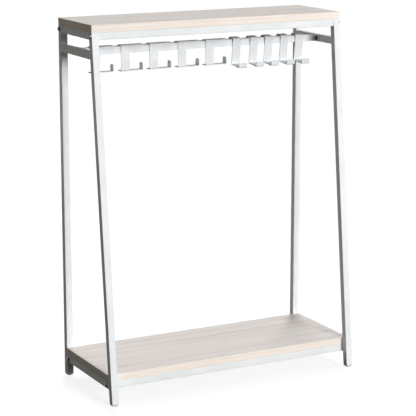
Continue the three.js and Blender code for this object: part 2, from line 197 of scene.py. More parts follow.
def from_side(azimuth, elevation, distance=4):
    """A place round the rack: azimuth 0 is in front of it and 90 on its right."""
    turn, lift = math.radians(azimuth), math.radians(elevation)
    return rack_middle + distance * Vector((
        math.sin(turn) * math.cos(lift), -math.cos(turn) * math.cos(lift), math.sin(lift)))


add_lamp("key", "SUN", from_side(9, 17), strength=2.5, colour="#FEFEFF", spread=20)
add_lamp("front_fill", "SUN", from_side(11, 8), strength=0.35, colour="#FEFEFF", spread=10)
add_lamp("top_light", "SUN", from_side(150, 50), strength=1.6, colour="#FBFBFF", spread=20)
add_lamp("right_fill", "AREA", from_side(60, 18, 1.9), strength=6.5, colour="#FFFFFF", spread=1.4)
left_place = Vector((-2.2, 0.3, 1.3))
add_lamp("left_fill", "AREA", left_place, strength=2.1, colour="#FFFBF2", spread=0.8)
inner_place = Vector((-0.41, 0.85, 0.6))
add_lamp("inner_fill", "AREA", inner_place, strength=1.0, colour="#FFFDFA", spread=0.3)

# The room is white to the camera and nearly dark to the rack. A white screen far behind the
# rack shows only in its glossy reflections.
world = bpy.data.worlds.new("studio")
scene.world = world
world.use_nodes = True
tree = world.node_tree
tree.nodes.clear()
direction = add_node(tree, "ShaderNodeTexCoord").outputs["Generated"]
depth = add_node(tree, "ShaderNodeSeparateXYZ", inputs={0: direction}).outputs["Y"]
screen = add_node(tree, "ShaderNodeMapRange", {"interpolation_type": "SMOOTHSTEP"}, {
    "Value": depth, "From Min": 0.5, "From Max": 0.86, "To Min": 0.01, "To Max": 0.62})
path = add_node(tree, "ShaderNodeLightPath").outputs
glow = add_node(tree, "ShaderNodeMix", {"data_type": "FLOAT"}, {
    0: path["Is Glossy Ray"], 2: 0.05, 3: screen.outputs["Result"]})
room_light = add_node(tree, "ShaderNodeBackground", inputs={
    "Color": linear("#FFFDF6"), "Strength": glow.outputs[0]})
backdrop = add_node(tree, "ShaderNodeBackground", inputs={
    "Color": linear("#FFFFFF"), "Strength": 1})
mixed = add_node(tree, "ShaderNodeMixShader", inputs={
    0: path["Is Camera Ray"], 1: room_light.outputs[0], 2: backdrop.outputs[0]})
add_node(tree, "ShaderNodeOutputWorld", inputs={"Surface": mixed.outputs[0]})
scene.view_settings.view_transform = "Standard"


# ---------------------------------------------------------------- side frames
# Each side is five lengths of square welded steel tube: an upright rear leg, a leaning front
# leg, and three rails mitred to the lean. The frame is welded, then powder coated white.

# Polyester powder coat, sprayed and baked: satin white with a shallow orange peel. Real peel
# has cells of about 1.5 mm; they are drawn at 2.5 mm so that they show.
powder_coat, tree, coordinates = start_material("white_powder_coated_steel")
cloud = noise(tree, coordinates, 70 * mm, 3)
peel = noise(tree, coordinates, 2.5 * mm, 2)
end_material(tree, {
    "Base Color": shade_ramp(tree, cloud, [(0.3, "#E8ECED"), (0.7, "#F2F4F4")]),
    "Roughness": between(tree, cloud, 0.42, 0.55), "IOR": 1.5,
    "Normal": bumps(tree, peel, 0.06 * mm, 0.35)})


def rounded_rectangle(width, height, radius, steps=5):
    """Points round a rounded rectangle about the origin, anticlockwise."""
    points = []
    for quarter, (side_x, side_y) in enumerate(((1, 1), (-1, 1), (-1, -1), (1, -1))):
        for step in range(steps + 1):
            angle = math.pi / 2 * (quarter + step / steps)
            points.append((
                side_x * (width / 2 - radius) + radius * math.cos(angle),
                side_y * (height / 2 - radius) + radius * math.sin(angle)))
    return points


def loft(rings, closed=False):
    """A skin through rings of equal length: capped at both ends, or joined up if closed."""
    bm = bmesh.new()
    rows = [[bm.verts.new(point) for point in ring] for ring in rings]
    pairs = list(zip(rows, rows[1:]))
    if closed:
        pairs.append((rows[-1], rows[0]))
    for lower, upper in pairs:
        for i in range(len(lower)):
            j = (i + 1) % len(lower)
            bm.faces.new((lower[i], lower[j], upper[j], upper[i]))
    if not closed:
        bm.faces.new(list(reversed(rows[0])))
        bm.faces.new(rows[-1])
    return bm


def new_piece(name, bm, material):
    """An object of that mesh, at the origin, with its place in its mesh."""
    mesh = bpy.data.meshes.new(name)
    bm.to_mesh(mesh)
    bm.free()
    mesh.materials.append(material)
    piece = bpy.data.objects.new(name, mesh)
    scene.collection.objects.link(piece)
    return piece


def settle(piece):
    """Makes what a piece's modifiers give its own plain mesh."""
    graph = bpy.context.evaluated_depsgraph_get()
    mesh = bpy.data.meshes.new_from_object(
        piece.evaluated_get(graph), preserve_all_data_layers=True, depsgraph=graph)
    piece.modifiers.clear()
    piece.data = mesh


def smooth(piece, sharp_angle=35):
    """Smooth shading up to that angle between faces, with the large flat faces kept flat."""
    piece.data.shade_smooth()
    piece.data.set_sharp_from_angle(angle=math.radians(sharp_angle))
    weights = piece.modifiers.new("weighted_normals", "WEIGHTED_NORMAL")
    weights.keep_sharp = True
    settle(piece)


def drill(piece, radius, holes, sides=24):
    """Cuts round holes, each from one point to another."""
    bm = bmesh.new()
    for start, end in holes:
        run = Vector(end) - Vector(start)
        turn = run.to_track_quat("Z", "Y").to_matrix().to_4x4()
        place = Matrix.Translation((Vector(start) + Vector(end)) / 2) @ turn
        bmesh.ops.create_cone(
            bm, cap_ends=True, segments=sides, radius1=radius, radius2=radius,
            depth=run.length, matrix=place)
    cutter = new_piece("drill", bm, piece.data.materials[0])
    cut = piece.modifiers.new("drill", "BOOLEAN")
    cut.operation = "DIFFERENCE"
    cut.solver = "EXACT"
    cut.object = cutter
    settle(piece)
    bpy.data.objects.remove(cutter)


# The tube, from the cross rail whose section stands square to the axes.
rail_low, rail_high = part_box("top_rear_rail")
tube_size = rail_high.z - rail_low.z
tube_wall = 1.2 * mm
tube_corner = 1.5 * mm
tube_bore = tube_size - 2 * tube_wall
bore_corner = 0.4 * mm
weld_gap = 0.3 * mm

# The radii of the holes for the frame bolts, the board screws and the bar screws.
bolt_hole = 3.2 * mm
board_screw_hole = 2.0 * mm
bar_screw_hole = 2.7 * mm

outer_section = rounded_rectangle(tube_size, tube_size, tube_corner)
inner_section = rounded_rectangle(tube_bore, tube_bore, bore_corner)


def tube(name, start, end, place):
    """An open square tube. place turns a section's point and a distance along into a point."""
    rings = [
        [place(a, b, along) for a, b in section]
        for section, along in (
            (outer_section, start), (outer_section, end),
            (inner_section, end), (inner_section, start))]
    bm = loft(rings, closed=True)
    bmesh.ops.recalc_face_normals(bm, faces=bm.faces)
    return new_piece(name, bm, powder_coat)


# How a front leg leans: its level section, its slope, and its back face at any height.
leg_low, leg_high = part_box("left_front_leg")
board_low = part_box("top_board")[0]
lean_slope = (board_low.y - leg_low.y) / (leg_high.z - leg_low.z)
level_depth = tube_size * math.hypot(1, lean_slope)


def front_leg_back(z):
    return leg_low.y + level_depth + lean_slope * (z - leg_low.z)


def middle(node):
    low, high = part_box(node)
    return (low + high) / 2


cross_rails = ("top_front", "top_rear", "bottom_front", "bottom_rear")

for side, outward in (("left", -1), ("right", 1)):
    frame_x = middle(f"{side}_rear_leg").x
    rear_y = middle(f"{side}_rear_leg").y
    inner_x = frame_x - outward * tube_size / 2
    bite = outward * 3 * mm  # through the inner wall only
    past = outward * tube_size  # through both walls
    rear_leg_front = rear_y - tube_size / 2
    pieces = []

    rear_leg = tube(
        f"{side}_rear_leg_tube", leg_low.z, leg_high.z,
        lambda a, b, z: (frame_x + a, rear_y + b, z))
    front_leg = tube(
        f"{side}_front_leg_tube", leg_low.z, leg_high.z,
        lambda a, b, z: (
            frame_x + a,
            front_leg_back(z) - level_depth / 2 + b * level_depth / tube_size,
            z))
    for end, leg in (("rear", rear_leg), ("front", front_leg)):
        bolt = middle(f"top_{end}_{side}_bolt")
        drill(leg, bolt_hole, [
            ((frame_x - past, bolt.y, bolt.z), (frame_x + past, bolt.y, bolt.z))])
        pieces.append((leg, f"{side}_{end}_leg"))

    for level in ("top", "bar", "bottom"):
        node = f"{side}_{level}_rail"
        rail_z = middle(node).z
        rail = tube(
            f"{node}_tube", 0, 1,
            lambda a, b, share: (
                frame_x + a,
                rear_leg_front * share + (front_leg_back(rail_z + b) + weld_gap) * (1 - share),
                rail_z + b))
        if level == "bar":
            holes = [middle(f"bar_{side}_{end}_screw") for end in ("front", "rear")]
            drill(rail, bar_screw_hole, [
                ((inner_x - bite, hole.y, rail_z), (inner_x + bite, hole.y, rail_z))
                for hole in holes])
        else:
            screws = [middle(f"{level}_board_{side}_{end}_screw") for end in ("front", "rear")]
            drill(rail, board_screw_hole, [
                ((frame_x, screw.y, rail_z - tube_size), (frame_x, screw.y, rail_z + tube_size))
                for screw in screws])
        if level == "bottom":
            bolts = [middle(f"bottom_{end}_{side}_bolt") for end in ("front", "rear")]
            drill(rail, bolt_hole, [
                ((frame_x - past, bolt.y, rail_z), (frame_x + past, bolt.y, rail_z))
                for bolt in bolts])
        pieces.append((rail, node))

    for piece, node in pieces:
        smooth(piece)
        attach(piece, "rack_frame")
        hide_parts(node)


# ---------------------------------------------------------------- weld beads
# Each side rail is welded to its leg all round: a rounded bead in the inside corners, and a
# seam ground nearly flush on the outer and inner faces. The coat softens the ripples.

def start_tree(name, inputs):
    """A Geometry Nodes tree with a geometry input and output and these named inputs."""
    tree = bpy.data.node_groups.new(name, "GeometryNodeTree")
    tree.interface.new_socket("Geometry", in_out="INPUT", socket_type="NodeSocketGeometry")
    for input_name, kind in inputs:
        tree.interface.new_socket(input_name, in_out="INPUT", socket_type=kind)
    tree.interface.new_socket("Geometry", in_out="OUTPUT", socket_type="NodeSocketGeometry")
    return tree, add_node(tree, "NodeGroupInput").outputs


def end_tree(tree, geometry, material):
    """Ends a tree in Realize Instances and Set Material."""
    realized = add_node(tree, "GeometryNodeRealizeInstances", inputs={"Geometry": geometry})
    painted = add_node(tree, "GeometryNodeSetMaterial", inputs={
        "Geometry": realized.outputs[0], "Material": material})
    add_node(tree, "NodeGroupOutput", inputs={0: painted.outputs[0]})


def grow(piece, tree, values):
    """Runs a tree on a piece with these input values and keeps the plain mesh it makes."""
    modifier = piece.modifiers.new(tree.name, "NODES")
    modifier.node_group = tree
    for socket in tree.interface.items_tree:
        if socket.in_out == "INPUT" and socket.name in values:
            modifier[socket.identifier] = values[socket.name]
    settle(piece)


bead_tree, given = start_tree("weld_bead", [
    ("Bead radius", "NodeSocketFloat"),
    ("Ripple spacing", "NodeSocketFloat"),
    ("Ripple height", "NodeSocketFloat"),
    ("Material", "NodeSocketMaterial")])
seam = add_node(bead_tree, "GeometryNodeMeshToCurve", inputs={"Mesh": given["Geometry"]})
step = add_node(bead_tree, "ShaderNodeMath", {"operation": "MULTIPLY"}, {
    0: given["Ripple spacing"], 1: 0.25})
fine_seam = add_node(bead_tree, "GeometryNodeResampleCurve", {"mode": "LENGTH"}, {
    "Curve": seam.outputs[0], "Length": step.outputs[0]})
distance = add_node(bead_tree, "GeometryNodeSplineParameter").outputs["Length"]
turns = add_node(bead_tree, "ShaderNodeMath", {"operation": "DIVIDE"}, {
    0: distance, 1: given["Ripple spacing"]})
phase = add_node(bead_tree, "ShaderNodeMath", {"operation": "MULTIPLY"}, {
    0: turns.outputs[0], 1: math.tau})
wave = add_node(bead_tree, "ShaderNodeMath", {"operation": "SINE"}, {0: phase.outputs[0]})
wobble = add_node(bead_tree, "ShaderNodeTexNoise", inputs={"Scale": 1 / (5 * mm), "Detail": 1})
uneven = between(bead_tree, wobble.outputs["Fac"], 0.85, 1.1)
swell = add_node(bead_tree, "ShaderNodeMath", {"operation": "MULTIPLY_ADD"}, {
    0: wave.outputs[0], 1: given["Ripple height"], 2: uneven})
bead_section = add_node(bead_tree, "GeometryNodeCurvePrimitiveCircle", inputs={
    "Resolution": 10, "Radius": given["Bead radius"]})
bead = add_node(bead_tree, "GeometryNodeCurveToMesh", inputs={
    "Curve": fine_seam.outputs[0], "Profile Curve": bead_section.outputs[0],
    "Scale": swell.outputs[0], "Fill Caps": True})
soft_bead = add_node(bead_tree, "GeometryNodeSetShadeSmooth", inputs={"Geometry": bead.outputs[0]})
end_tree(bead_tree, soft_bead.outputs[0], given["Material"])


def add_loop(bm, points):
    """A closed line of edges through these points."""
    verts = [bm.verts.new(point) for point in points]
    for here, there in zip(verts, verts[1:] + verts[:1]):
        bm.edges.new((here, there))


bead_radius = 1.2 * mm
flush_depth = 1.0 * mm  # how deep a flush seam's middle lies under the face
proud = 0.2 * mm  # how far a corner bead's middle stands off the face
seam_depth = 0.4 * mm  # how far a bead's middle lies inside the leg's own face
board_gap = 0.3 * mm  # how far a bead keeps from the board that lies on a top or bottom rail

for side in ("left", "right"):
    frame_x = middle(f"{side}_rear_leg").x
    rear_leg_front = middle(f"{side}_rear_leg").y - tube_size / 2
    bm = bmesh.new()
    for level in ("top", "bar", "bottom"):
        rail_z = middle(f"{side}_{level}_rail").z
        lift = proud if level == "bar" else -flush_depth - board_gap
        height = tube_size + proud + lift
        outline = rounded_rectangle(tube_size - 2 * flush_depth, height, tube_corner)
        seam_z = rail_z + (lift - proud) / 2
        add_loop(bm, [
            (frame_x + a, front_leg_back(seam_z + b) - seam_depth, seam_z + b) for a, b in outline])
        add_loop(bm, [(frame_x + a, rear_leg_front + seam_depth, seam_z + b) for a, b in outline])
    beads = new_piece(f"{side}_frame_welds", bm, powder_coat)
    grow(beads, bead_tree, {
        "Bead radius": bead_radius, "Ripple spacing": 1.8 * mm, "Ripple height": 0.07,
        "Material": powder_coat})
    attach(beads, "rack_frame")


# ---------------------------------------------------------------- cross rails and inserts
# Four straight lengths of the same tube, sawn square, tie the sides together. A die-cast zinc
# block pressed into each end takes the frame bolt's thread.

for name in cross_rails:
    node = f"{name}_rail"
    low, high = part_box(node)
    centre = (low + high) / 2
    rail = tube(f"{node}_tube", low.x, high.x, lambda a, b, x: (x, centre.y + a, centre.z + b))
    smooth(rail)
    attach(rail, "rack_frame")
    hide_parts(node)

# Die-cast zinc alloy: dull grey metal with a fine cast grain.
cast_zinc, tree, coordinates = start_material("die_cast_zinc")
grain = noise(tree, coordinates, 0.8 * mm, 3)
end_material(tree, {
    "Base Color": shade_ramp(tree, grain, [(0.3, "#8E9091"), (0.7, "#A6A8A8")]),
    "Metallic": 1, "Roughness": between(tree, grain, 0.45, 0.6),
    "Normal": bumps(tree, grain, 0.05 * mm, 0.4)})

for name in cross_rails:
    for side in ("left", "right"):
        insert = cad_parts[f"{name}_{side}_insert"]
        insert.data.materials.clear()
        insert.data.materials.append(cast_zinc)


# ---------------------------------------------------------------- feet
# A foot is one moulding of white nylon: a pad rounded below, and a barbed plug pressed up
# into the leg's open end. The pad's upper edge is eased, so the joint reads as a fine line.

# Injection-moulded polyamide: slightly warm white, satin, with a fine spark-eroded grain.
nylon, tree, coordinates = start_material("white_moulded_nylon")
speckle = noise(tree, coordinates, 0.7 * mm, 2)
nylon_cloud = noise(tree, coordinates, 9 * mm, 2)
end_material(tree, {
    "Base Color": shade_ramp(tree, nylon_cloud, [(0.3, "#E3E4E0"), (0.7, "#EDEEEA")]),
    "Roughness": between(tree, speckle, 0.42, 0.56), "IOR": 1.53,
    "Subsurface Weight": 0.08, "Subsurface Radius": (1, 0.9, 0.8), "Subsurface Scale": 1 * mm,
    "Normal": bumps(tree, speckle, 0.04 * mm, 0.3)})

foot_height = leg_low.z
foot_rounding = 7.5 * mm
foot_corner = 2.1 * mm
foot_easing = 0.4 * mm
plug_play = 0.4 * mm
plug_size = tube_bore - plug_play
plug_corner = 1 * mm
plug_height = 12 * mm
plug_taper = 1.2 * mm
first_barb = 2 * mm
barb_count = 3
barb_pitch = 2.6 * mm
barb_depth = 0.5 * mm
barb_step = 0.4 * mm


def foot_rings(centre, depth, slope):
    """Rings up a foot, from the flat it stands on to the top of its plug."""

    def ring(inset, z, radius, shrink_to=None):
        width = (shrink_to or tube_size) - 2 * inset
        length = (shrink_to or depth) - 2 * inset
        shift = slope * max(0, z - foot_height)
        return [
            (centre.x + a, centre.y + shift + b, z)
            for a, b in rounded_rectangle(width, length, radius, steps=4)]

    rings = []
    steps = 10
    for step in range(steps + 1):
        angle = math.pi / 2 * step / steps
        inset = foot_rounding * (1 - math.sin(angle))
        widest_corner = tube_size / 2 - inset - 0.1 * mm
        rings.append(ring(
            inset, foot_rounding * (1 - math.cos(angle)), min(foot_corner, widest_corner)))
    rings.append(ring(0, foot_height - foot_easing, tube_corner))
    rings.append(ring(foot_easing, foot_height, tube_corner))
    # Up the plug: each barb widens to its edge and is cut back there, and the top is a lead-in.
    plug = [(0, 0)]
    for barb in range(barb_count):
        edge = first_barb + barb_pitch * barb
        plug += [(edge, 0), (edge + barb_step, barb_depth)]
    plug.append((plug_height, plug_taper))
    for z, inset in plug:
        rings.append(ring(inset, foot_height + z, plug_corner, plug_size))
    return rings


for side in ("left", "right"):
    for end, depth, slope in (("front", level_depth, lean_slope), ("rear", tube_size, 0)):
        node = f"{side}_{end}_foot"
        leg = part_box(f"{side}_{end}_leg")[0]
        centre = Vector((middle(node).x, leg.y + depth / 2, 0))
        foot = new_piece(f"{node}_cap", loft(foot_rings(centre, depth, slope)), nylon)
        smooth(foot, 50)
        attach(foot, "rack_frame")
        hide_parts(node)


# ---------------------------------------------------------------- boards
# Particle board faced on both sides with a whitewashed wood print, grain along the rack, and
# closed all round with a plastic edge band. Both are screwed down from under the side rails.

def streaky_noise(tree, place, cell, detail, roughness):
    """Noise stretched along the grain: its cells are that long, wide and deep, in metres."""
    stretched = add_node(tree, "ShaderNodeMapping", inputs={
        "Vector": place, "Scale": [1 / size for size in cell]})
    return add_node(tree, "ShaderNodeTexNoise", inputs={
        "Vector": stretched.outputs[0], "Scale": 1, "Detail": detail,
        "Roughness": roughness}).outputs["Fac"]


# Melamine-faced decor paper: a chalky, greyish beige print of long, soft grain and fine pores.
laminate, tree, coordinates = start_material("whitewashed_wood_laminate")
bend = add_node(tree, "ShaderNodeTexNoise", inputs={
    "Vector": add_node(tree, "ShaderNodeMapping", inputs={
        "Vector": coordinates, "Scale": (1.6, 7, 3)}).outputs[0],
    "Scale": 1, "Detail": 2})
sway = add_node(tree, "ShaderNodeVectorMath", {"operation": "SCALE"}, {
    0: bend.outputs["Color"], "Scale": 40 * mm})
swayed = add_node(tree, "ShaderNodeVectorMath", {"operation": "ADD"}, {
    0: coordinates, 1: sway.outputs[0]})
# Bands about 22 mm wide and 600 mm long, streaks 4 mm by 200 mm, and pores 0.9 mm by 45 mm.
print_place = swayed.outputs[0]
bands = streaky_noise(tree, print_place, (600 * mm, 22 * mm, 30 * mm), 2, 0.55)
streaks = streaky_noise(tree, print_place, (200 * mm, 4 * mm, 6 * mm), 3, 0.6)
pores = streaky_noise(tree, print_place, (45 * mm, 0.9 * mm, 2 * mm), 2, 0.5)
grain_mix = add_node(tree, "ShaderNodeMix", {"data_type": "FLOAT"}, {
    0: 0.4, 2: bands, 3: streaks})
wood_colour = shade_ramp(tree, grain_mix.outputs[0], [
    (0.34, "#DACDC3"), (0.45, "#E7DED7"), (0.56, "#EEE7E1"), (0.68, "#F2EEEA")])
pore_mask = add_node(tree, "ShaderNodeMapRange", inputs={
    "Value": pores, "From Min": 0.58, "From Max": 0.72, "To Min": 0, "To Max": 0.5})
printed = add_node(tree, "ShaderNodeMix", {"data_type": "RGBA"}, {
    0: pore_mask.outputs["Result"], 6: wood_colour, 7: linear("#CFC2B7")})
pore_bump = add_node(tree, "ShaderNodeBump", {"invert": True}, {
    "Strength": 0.3, "Distance": 0.08 * mm, "Height": pore_mask.outputs["Result"]})
end_material(tree, {
    "Base Color": printed.outputs[2], "Roughness": between(tree, streaks, 0.3, 0.42),
    "IOR": 1.5, "Normal": pore_bump.outputs["Normal"]})

# Printed ABS edge band, 1 mm: the same print, creamier, its streaks running along the edge.
# It reads the piece's UV map, metres along the edge by metres up.
edge_band, tree = start_material("printed_edge_band")[:2]
along_edge = add_node(tree, "ShaderNodeUVMap", {"uv_map": "along_edge"}).outputs["UV"]
edge_bands = streaky_noise(tree, along_edge, (300 * mm, 6 * mm, 1), 2, 0.55)
edge_streaks = streaky_noise(tree, along_edge, (100 * mm, 1.8 * mm, 1), 3, 0.6)
edge_mix = add_node(tree, "ShaderNodeMix", {"data_type": "FLOAT"}, {
    0: 0.45, 2: edge_bands, 3: edge_streaks})
edge_colour = shade_ramp(tree, edge_mix.outputs[0], [
    (0.34, "#EBDCCD"), (0.46, "#F4E8DC"), (0.56, "#F9EFE5"), (0.68, "#FBF5EE")])
end_material(tree, {
    "Base Color": edge_colour, "Roughness": between(tree, edge_streaks, 0.42, 0.56),
    "Specular IOR Level": 0.15, "Normal": bumps(tree, edge_streaks, 0.06 * mm, 0.25)})

band_thickness = 1.0 * mm
band_edge = 0.8 * mm
band_corner = 1.6 * mm
joint_width = 0.08 * mm
panel_bevel = 0.2 * mm
pilot_depth = 15 * mm
drill_overrun = 5 * mm


def panel_rings(low, high):
    """Rings up a board's panel, its edges broken where the band meets them."""
    inset = band_thickness + joint_width
    centre = (low + high) / 2
    rings = []
    for extra, z in (
            (panel_bevel, low.z), (0, low.z + panel_bevel),
            (0, high.z - panel_bevel), (panel_bevel, high.z)):
        width = high.x - low.x - 2 * (inset + extra)
        depth = high.y - low.y - 2 * (inset + extra)
        rings.append([
            (centre.x + a, centre.y + b, z)
            for a, b in rounded_rectangle(width, depth, band_corner - band_thickness, steps=4)])
    return rings


def band_rings(low, high):
    """Rings round the band's own section: up its outer face, over, and down the inner one."""
    centre = (low + high) / 2
    turns = 4
    angles = [math.pi / 2 * turn / turns for turn in range(turns + 1)]
    section = [
        (band_edge * (1 - math.sin(angle)), low.z + band_edge * (1 - math.cos(angle)))
        for angle in angles]
    section += [
        (band_edge * (1 - math.cos(angle)), high.z - band_edge * (1 - math.sin(angle)))
        for angle in angles]
    section += [(band_thickness, high.z - panel_bevel), (band_thickness, low.z + panel_bevel)]
    rings = []
    for inset, z in section:
        width = high.x - low.x - 2 * inset
        depth = high.y - low.y - 2 * inset
        radius = band_corner - 0.9 * inset  # so the inner corner stays a little round
        rings.append([
            (centre.x + a, centre.y + b, z)
            for a, b in rounded_rectangle(width, depth, radius, steps=6)])
    return rings


def unroll_edge(piece, low, high):
    """Writes the UV map along_edge: metres along the edge, and metres up. Each side starts far
    from the others, so no two show the same stretch of print."""
    end_start, back_start = 3, 7
    width, depth = high.x - low.x, high.y - low.y
    centre = (low + high) / 2
    layer = piece.data.uv_layers.new(name="along_edge")
    for face in piece.data.polygons:
        across = abs(face.normal.x) > abs(face.normal.y)
        for loop in face.loop_indices:
            point = piece.data.vertices[piece.data.loops[loop].vertex_index].co - centre
            run = point.y + width * math.copysign(end_start, point.x) if across else point.x
            if not across and point.y > 0:
                run += back_start * depth
            layer.data[loop].uv = (run, point.z)


for board in ("top_board", "bottom_board"):
    low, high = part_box(board)
    panel = new_piece(f"{board}_panel", loft(panel_rings(low, high)), laminate)
    screws = [
        middle(f"{board}_{side}_{end}_screw")
        for side in ("left", "right") for end in ("front", "rear")]
    drill(panel, board_screw_hole, [
        ((screw.x, screw.y, low.z - drill_overrun), (screw.x, screw.y, low.z + pilot_depth))
        for screw in screws])
    smooth(panel)
    band_mesh = loft(band_rings(low, high), closed=True)
    bmesh.ops.recalc_face_normals(band_mesh, faces=band_mesh.faces)
    band = new_piece(f"{board}_edge_band", band_mesh, edge_band)
    unroll_edge(band, low, high)
    smooth(band)
    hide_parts(board)
    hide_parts(board)
    for piece in (panel, band):
        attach(piece, "rack_frame")


# ---------------------------------------------------------------- bolts and screws
# Round-head hex-socket steel screws, cold headed and rolled. M6 bolts hold the cross rails,
# long 3.6 mm screws go up into the boards, and M5 screws hold the bar.

def round_head_screw(name, shank, length, head, head_height, socket, socket_depth, pitch, material):
    """A screw at the origin: its head stands on z = 0 and its threaded shank points down."""
    sides = 36
    rows_per_turn = 4
    crest = shank / 2
    root = crest - 0.55 * pitch
    point = 0.4 * root
    flank = 2.4  # above 2, so the thread's crest is a narrow flat

    def circle(radius, z):
        return [
            (radius * math.cos(math.tau * i / sides), radius * math.sin(math.tau * i / sides), z)
            for i in range(sides)]

    def hexagon(flats, z):
        ring = []
        for i in range(sides):
            turn = math.tau * i / sides
            from_flat = (turn + math.pi / 6) % (math.pi / 3) - math.pi / 6
            reach = flats / 2 / math.cos(from_flat)
            ring.append((reach * math.cos(turn), reach * math.sin(turn), z))
        return ring

    def thread(z):
        ring = []
        for i in range(sides):
            climb = (z / pitch - i / sides) % 1
            radius = root + (crest - root) * min(1, flank * min(climb, 1 - climb))
            turn = math.tau * i / sides
            ring.append((radius * math.cos(turn), radius * math.sin(turn), z))
        return ring

    rings = [circle(0.6 * root, -length), circle(root, -length + point)]
    threaded = 0.8 * length - root
    for row in range(round(threaded / pitch * rows_per_turn)):
        rings.append(thread(-length + point + (row + 1) * pitch / rows_per_turn))
    rings += [circle(crest, rings[-1][0][2] + 0.5 * pitch), circle(crest, 0)]
    rim = 0.12 * head_height
    rings += [circle(head / 2 - rim, 0), circle(head / 2, rim), circle(head / 2, 2 * rim)]
    crown = 0.29 * head
    dome_steps = 8
    for step in range(1, dome_steps + 1):
        angle = math.pi / 2 * step / dome_steps
        radius = crown + (head / 2 - crown) * math.cos(angle)
        rings.append(circle(radius, 2 * rim + (head_height - 2 * rim) * math.sin(angle)))
    chamfer = 0.1 * socket
    rings.append(hexagon(socket + 2 * chamfer, head_height))
    rings.append(hexagon(socket, head_height - chamfer))
    rings.append(hexagon(socket, head_height - socket_depth))
    cone_depth = 0.2 * socket
    rings.append(circle(0.1 * socket, head_height - socket_depth - cone_depth))
    screw = new_piece(name, loft(rings), material)
    smooth(screw, 32)
    return screw


# Bright zinc plate on steel: pale blue-grey metal with faint handling marks.
zinc_plate, tree, coordinates = start_material("bright_zinc_plated_steel")
handling = noise(tree, coordinates, 1.5 * mm, 4, 0.6)
end_material(tree, {
    "Base Color": shade_ramp(tree, handling, [(0.3, "#A4A8AB"), (0.7, "#C8CBCC")]),
    "Metallic": 1, "Roughness": between(tree, handling, 0.12, 0.26),
    "Normal": bumps(tree, handling, 0.03 * mm, 0.15)})

# Bronze-dark plated steel: warm brown metal, worn a little lighter in patches.
dark_plate, tree, coordinates = start_material("dark_plated_steel")
wear = noise(tree, coordinates, 2 * mm, 4, 0.6)
end_material(tree, {
    "Base Color": shade_ramp(tree, wear, [(0.35, "#5E4B3C"), (0.7, "#8E7660")]),
    "Metallic": 1, "Roughness": between(tree, wear, 0.28, 0.45),
    "Normal": bumps(tree, wear, 0.03 * mm, 0.2)})

# One screw stands on each point, its head along the point's own direction, turned at random.
screw_tree, given = start_tree("screws_on_points", [
    ("Screw", "NodeSocketObject"), ("Seed", "NodeSocketInt"), ("Material", "NodeSocketMaterial")])
template = add_node(screw_tree, "GeometryNodeObjectInfo", inputs={"Object": given["Screw"]})
facing = add_node(screw_tree, "GeometryNodeInputNamedAttribute", {"data_type": "FLOAT_VECTOR"}, {
    "Name": "facing"})
aligned = add_node(screw_tree, "FunctionNodeAlignRotationToVector", {"axis": "Z"}, {
    "Vector": facing.outputs["Attribute"]})
spin = add_node(screw_tree, "FunctionNodeRandomValue", {"data_type": "FLOAT"}, {
    2: 0.0, 3: math.tau, "Seed": given["Seed"]})
own_turn = add_node(screw_tree, "FunctionNodeAxisAngleToRotation", inputs={
    "Axis": (0, 0, 1), "Angle": spin.outputs[1]})
turned = add_node(screw_tree, "FunctionNodeRotateRotation", {"rotation_space": "LOCAL"}, {
    "Rotation": aligned.outputs[0], "Rotate By": own_turn.outputs[0]})
placed = add_node(screw_tree, "GeometryNodeInstanceOnPoints", inputs={
    "Points": given["Geometry"], "Instance": template.outputs["Geometry"],
    "Rotation": turned.outputs[0]})
end_tree(screw_tree, placed.outputs[0], given["Material"])


def add_screws(name, screw, places, material, seed):
    """Sets a copy of a screw on each place, given as (node, seat point, head direction)."""
    mesh = bpy.data.meshes.new(name)
    mesh.from_pydata([seat for node, seat, direction in places], [], [])
    attribute = mesh.attributes.new("facing", "FLOAT_VECTOR", "POINT")
    for item, (node, seat, direction) in zip(attribute.data, places):
        item.vector = direction
    screws = bpy.data.objects.new(name, mesh)
    scene.collection.objects.link(screws)
    grow(screws, screw_tree, {"Screw": screw, "Seed": seed, "Material": material})
    bpy.data.objects.remove(screw)
    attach(screws, "rack_frame")
    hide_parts(*[node for node, seat, direction in places])


frame_half_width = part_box("right_rear_leg")[1].x
bolt_places = []
for name in cross_rails:
    for side, outward in (("left", -1), ("right", 1)):
        node = f"{name}_{side}_bolt"
        rail = middle(f"{name}_rail")
        bolt_places.append((node, (outward * frame_half_width, rail.y, rail.z), (outward, 0, 0)))
frame_bolt = round_head_screw(
    "frame_bolt", shank=6 * mm, length=35 * mm, head=12 * mm, head_height=5 * mm,
    socket=4 * mm, socket_depth=2.5 * mm, pitch=1 * mm, material=zinc_plate)
add_screws("frame_bolts", frame_bolt, bolt_places, zinc_plate, 3)

screw_places = []
for level in ("top", "bottom"):
    for side in ("left", "right"):
        for end in ("front", "rear"):
            node = f"{level}_board_{side}_{end}_screw"
            place = middle(node)
            seat_z = middle(f"{side}_{level}_rail").z - tube_size / 2
            screw_places.append((node, (place.x, place.y, seat_z), (0, 0, -1)))
board_screw = round_head_screw(
    "board_screw", shank=3.6 * mm, length=33 * mm, head=8 * mm, head_height=2.2 * mm,
    socket=2.5 * mm, socket_depth=1.4 * mm, pitch=1.6 * mm, material=zinc_plate)
add_screws("board_screws", board_screw, screw_places, zinc_plate, 5)


# ---------------------------------------------------------------- hanger bar
# The same tube with a flat steel plate welded on each end, powder coated. Two screws through
# each plate hold it to the inner wall of the bar rail.

bar_low, bar_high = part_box("hanger_bar")
bar_centre = (bar_low + bar_high) / 2
plate_thickness = 2.5 * mm
plate_corner = 1.2 * mm
plate_edge = 0.3 * mm
vent_radius = 4 * mm
bar_reach = bar_high.x - plate_thickness
bar_weld_inset = 0.2 * mm
bar_weld_offset = 0.1 * mm

